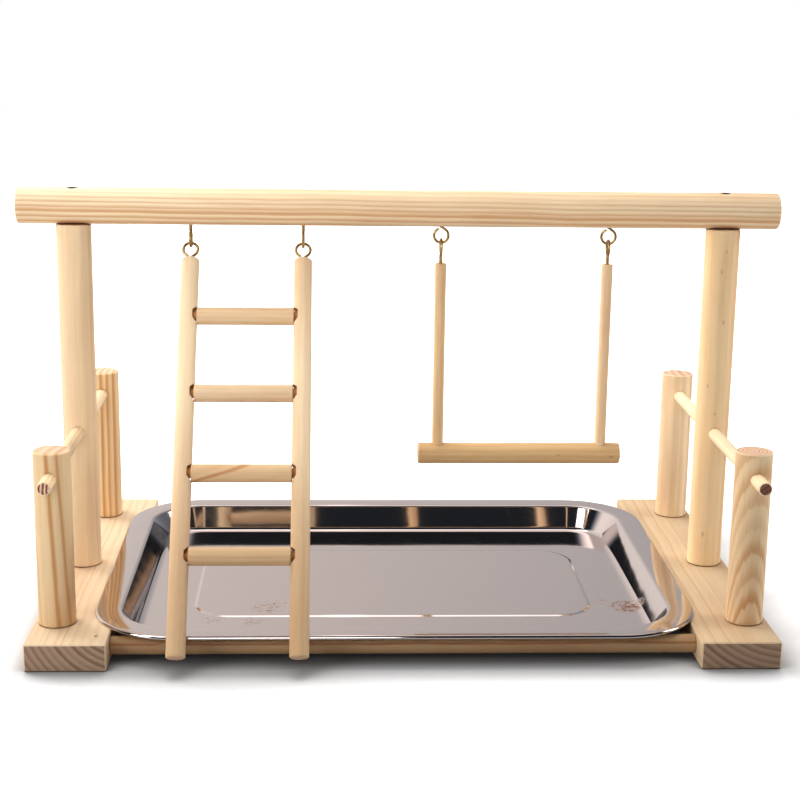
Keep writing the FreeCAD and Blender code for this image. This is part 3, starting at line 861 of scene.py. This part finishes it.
# A hinge runs through the wire of one ring. The wire of the ring that is linked to it passes WIRES_APART
# from there. Each pair has its body, its bare shank in mm, its middle, its spacing and its turn.
on_hinge = Vector((0, 0, RING))
linked = Vector((0, 0, RING - WIRES_APART))
leaning = Matrix.Rotation(-lean, 3, "X")
EYES = {
    "ladder_hangers": ("stand", 3.8, LADDER_HINGE + linked, RAILS_APART, (math.pi, 0, math.pi / 2)),
    "swing_hangers": ("stand", 0.0, SWING_HINGE + on_hinge, RODS_APART, (math.pi, 0, 0)),
    "ladder_eyes": ("ladder", 1.5, LADDER_HINGE - leaning @ on_hinge, RAILS_APART, (-lean, 0, 0)),
    "swing_eyes": ("swing", 5.6, SWING_HINGE - linked, RODS_APART, (0, 0, math.pi / 2)),
}
STANDS_FOR = {
    "ladder_hangers": ("ladder_hanger_left", "ladder_hanger_right"),
    "swing_hangers": ("swing_hanger_left", "swing_hanger_right"),
    "ladder_eyes": ("ladder_left_eye", "ladder_right_eye"),
    "swing_eyes": ("swing_left_eye", "swing_right_eye"),
}
for name, (body, drop, place, spacing, turn) in EYES.items():
    pair = eye_shape.make(name, {**EYE, "Bare shank": drop * MM, "Middle": place, "Spacing": spacing,
                                 "Turn": turn})
    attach(pair, body)
    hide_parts(*STANDS_FOR[name])
print(f"{len(EYES)} pairs of screw eyes")

# %% Wood screws
HEAD = 3.7 * MM
HEAD_SIDES = 32
HEAD_EDGE = 0.25 * MM
HEAD_EASE = 0.1 * MM
POINT_LENGTH = 5 * MM
POINT = 0.1 * MM
CROSS_WIDTH = 0.9 * MM
CROSS_DEPTH = 1.2 * MM
SCREW_THREAD = {"pitch": 1.8 * MM, "depth": 0.3 * MM}
TOP_LENGTH = 50 * MM
BOARD_LENGTH = 40 * MM


def screw_tree():
    """A countersunk screw with a cross recess at each given point, its head up or down."""
    shape = Shape("wood_screws", COATED)
    head, shank, length = shape.size("Head"), shape.size("Shank"), shape.size("Length")
    sink = shape.size("Head height")
    first, step = shape.size("First", "NodeSocketVector"), shape.size("Step", "NodeSocketVector")
    count, turn = shape.size("Count", "NodeSocketInt"), shape.size("Turn", "NodeSocketVector")
    heights = [0.0, HEAD_EDGE, sink, length - POINT_LENGTH, length]
    widths = [head - HEAD_EASE, head, shank, shank, POINT]
    body = shape.turned(heights, widths, shape.circle(1.0, HEAD_SIDES))
    cut = shape.tree.nodes.new("GeometryNodeMeshBoolean")
    cut.operation = "DIFFERENCE"
    cut.solver = "EXACT"
    shape.tree.links.new(body.socket, cut.inputs[0])
    for long, wide in ((head * 1.1, CROSS_WIDTH), (CROSS_WIDTH, head * 1.1)):
        inputs = {"Size": shape.vector(long, wide, 2 * CROSS_DEPTH)}
        slot = shape.node("GeometryNodeMeshCube", None, inputs)["Mesh"]
        shape.tree.links.new(slot.socket, cut.inputs[1])
    wound = thread(shape, shank, -1 * (sink + length * 0.3), length * 0.62, **SCREW_THREAD)
    inputs = {"Count": count, "Start Location": first, "Offset": step}
    line = shape.node("GeometryNodeMeshLine", None, inputs)["Mesh"]
    shape.end(shape.each(line, shape.join(Value(shape, cut.outputs[0]), wound), turn))
    return shape


screw_shape = screw_tree()
SCREW = {"Head": HEAD, "Shank": 2.0 * MM, "Head height": 2.4 * MM}


def screws(name, node, count, step, length, turn, height):
    """A row of screws in the stand, from the left front corner of the node that they stand for."""
    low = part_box(node)[0]
    first = Vector((low.x + HEAD, low.y + HEAD, height))
    made = screw_shape.make(name, {**SCREW, "Length": length, "Count": count, "First": first, "Step": step,
                                   "Turn": turn})
    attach(made, "stand")
    return made


low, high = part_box("top_perch_screws")
across = Vector((high.x - low.x - 2 * HEAD, 0, 0))
top_screws = screws("top_screws", "top_perch_screws", 2, across, TOP_LENGTH, (0, 0, 0.4), high.z)
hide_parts("top_perch_screws")
low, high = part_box("post_screws")
along = Vector((0, (high.y - low.y - 2 * HEAD) / 2, 0))
left_screws = screws("left_board_screws", "post_screws", 3, along, BOARD_LENGTH, (math.pi, 0, 0.7), low.z)
right_screws = screws("right_board_screws", "post_screws", 3, along, BOARD_LENGTH, (math.pi, 0, 1.1), low.z)
right_screws.data.transform(Matrix.Translation(across))
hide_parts("post_screws")
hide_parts("post_screws")
print("two screws from above and six from below")

# %% [markdown]
# ## Camera
# The photographer stood a little left of the middle, about a metre away and slightly above the top perch,
# with a long lens. A long lens keeps the left and right posts nearly parallel.

# %% Camera
CAMERA_PLACE = Vector((-48.73, -1105.77, 400.73)) * MM
CAMERA_YAW = 0.04480
CAMERA_PITCH = 0.23203
CAMERA_ROLL = 0.01343
FOCAL_PIXELS = 1598.9
IMAGE_PIXELS = 800
camera_data = bpy.data.cameras.new("camera")
camera_data.sensor_width = 36.0
camera_data.lens = camera_data.sensor_width * FOCAL_PIXELS / IMAGE_PIXELS
camera_data.clip_start = 0.01
camera = bpy.data.objects.new("camera", camera_data)
bpy.context.scene.collection.objects.link(camera)
aim = (Matrix.Rotation(-CAMERA_YAW, 4, "Z") @ Matrix.Rotation(math.pi / 2 - CAMERA_PITCH, 4, "X")
       @ Matrix.Rotation(CAMERA_ROLL, 4, "Z"))
stand_off = Vector((0, LADDER_HINGE.y, 0))
camera.matrix_world = Matrix.Translation(CAMERA_PLACE + stand_off) @ aim
bpy.context.scene.camera = camera
print(f"a {camera_data.lens:.1f} mm lens, {camera.location.length:.2f} m from the stand")

# %% [markdown]
# ## Studio
# A product photograph of a mirror is mostly a photograph of the room. Behind the stand is a pale
# backdrop, and the room in front of it is dark. The floor of the tray mirrors the backdrop, and its back
# wall mirrors the dark room with the ladder and swing in front of it. So the surroundings are bright
# behind and dim in front. What the camera itself sees of them is plain white.
#
# Six soft lamps light the stand. A weak narrow one in front lifts the top perch, two stand at the front
# left, one behind on the left, a large strong one on the right, and one hangs above. Metal doesn't mirror
# the ones behind and above.


# %% Surroundings
BACKDROP = rgb(255, 247, 243)
ROOM = rgb(206, 226, 250)
WHITE = (1, 1, 1, 1)


def surroundings():
    """The world: a pale backdrop behind, a dim room in front, and plain white for the camera itself."""
    world = bpy.data.worlds.new("studio")
    finish = Finish(world)
    direction = finish.node("ShaderNodeTexCoord")["Generated"]
    rightward = finish.along(direction, RIGHT)
    backward = finish.along(direction, BACK)
    upward = finish.along(direction, UP)
    backdrop = backward.rise(-0.1, 0.3) * (1 - 0.9 * rightward)
    strip = abs(rightward / backward - 0.011).rise(0.026, 0.012)
    glare = strip * upward.rise(0.5, 0.6) * upward.rise(0.9, 0.85)
    band = upward.rise(0.84, 0.89) * upward.rise(0.98, 0.95)
    level = backdrop * (0.74 + (band + glare) * 1.5) * upward.rise(0.995, 0.97) + 0.03
    seen = finish.node("ShaderNodeLightPath")["Is Camera Ray"]
    colour = finish.mix(seen, finish.mix(backdrop, ROOM, BACKDROP), WHITE)
    inputs = {"Color": colour, "Strength": level * (1 - seen) + seen}
    light = finish.node("ShaderNodeBackground", None, inputs)["Background"]
    finish.node("ShaderNodeOutputWorld", None, {"Surface": light})
    bpy.context.scene.world = world


surroundings()
print("a pale backdrop and a dim room")

# %% Lamps
CENTRE = Vector((0, 0, 0.12))
TOP_PERCH = middle("top_perch")


def lamp(name, place, target, size, watts, spread=180, mirrored=True):
    """A soft rectangular lamp that points at a target.

    size is its width and height in metres, spread the angle that its light fans out to, in degrees, and
    mirrored says whether metal shows it.
    """
    data = bpy.data.lights.new(name, "AREA")
    data.shape = "RECTANGLE"
    data.size, data.size_y = size
    data.energy = watts
    data.spread = math.radians(spread)
    made = bpy.data.objects.new(name, data)
    bpy.context.scene.collection.objects.link(made)
    made.visible_glossy = mirrored
    aimed = (target - place).to_track_quat("-Z", "Y").to_matrix().to_4x4()
    made.matrix_world = Matrix.Translation(place) @ aimed


lamp("lamp_front", Vector((-0.15, -1.25, 0.62)), TOP_PERCH, (0.4, 0.3), 0.42, spread=50)
lamp("lamp_front_left", Vector((-0.9, -0.7, 0.5)), CENTRE, (0.45, 0.45), 5.2)
lamp("lamp_high_left", Vector((-0.5, -0.4, 0.92)), CENTRE, (0.45, 0.3), 1.9)
lamp("lamp_back_left", Vector((-0.8, 0.45, 0.45)), CENTRE, (0.45, 0.5), 6, mirrored=False)
lamp("lamp_right", Vector((1.6, 0.03, 0.68)), CENTRE, (0.76, 1.0), 18.5)
lamp("lamp_above", Vector((-0.2, 0.3, 1.0)), CENTRE, (0.7, 0.3), 5.2, mirrored=False)
print("six soft lamps")

# %% [markdown]
# ## Floor
# The stand rests on paper that is as white as the room behind it. The camera sees shade only near the
# stand: the less open sky a point of the paper has, the darker it is. Light and metal meet plain light
# grey paper instead.

# %% Floor
FLOOR_REACH = 6.0
FLOOR_HEIGHT = -0.2 * MM
OPEN_SIDE = (0.42, 0.58, 0.70)
SHADE_REACH = 0.25


def floor_paper():
    """White paper with the stand's shade on it, deeper in front of the stand and gone far from it."""
    finish = Finish(bpy.data.materials.new("floor_paper"))
    point = finish.point()
    paper = finish.noise(point, 2.0, 0.5, scale=3.0)
    seen = finish.node("ShaderNodeLightPath")["Is Camera Ray"]
    far = finish.vectors("LENGTH", point)["Value"].rise(0.4, 0.9)
    front = finish.along(point, BACK).rise(-0.135, -0.165)
    inputs = {"Distance": SHADE_REACH, "Normal": OPEN_SIDE}
    sky = finish.node("ShaderNodeAmbientOcclusion", {"samples": 32}, inputs)["AO"]
    front_shade = sky * 0.3 + sky ** 7 * 0.7
    shade = (sky ** 2.3) * (1 - front) + front_shade * front
    shade = shade * 0.97 + 0.03
    level = (0.5 + paper * 0.03) * (1 - seen) + seen * shade * 1.2
    inputs = {"Color": finish.vector(level, level, level)}
    diffuse = finish.node("ShaderNodeBsdfDiffuse", None, inputs)["BSDF"]
    inputs = {"Strength": seen * (shade * 0.3 + far)}
    glow = finish.node("ShaderNodeEmission", None, inputs)["Emission"]
    return finish.shade(finish.node("ShaderNodeAddShader", None, {0: diffuse, 1: glow})["Shader"])


def floor():
    """A large flat sheet of the paper, just under the stand."""
    mesh = bpy.data.meshes.new("floor")
    outline = ((-1, -1), (1, -1), (1, 1), (-1, 1))
    corners = [(x * FLOOR_REACH, y * FLOOR_REACH, FLOOR_HEIGHT) for x, y in outline]
    mesh.from_pydata(corners, [], [(0, 1, 2, 3)])
    mesh.materials.append(floor_paper())
    made = bpy.data.objects.new("floor", mesh)
    bpy.context.scene.collection.objects.link(made)


floor()
print("a floor of pale paper")

# %% [markdown]
# ## Finish
# The view shows colours as they are, without a film curve.

# %% Finish
bpy.context.scene.view_settings.view_transform = "Standard"
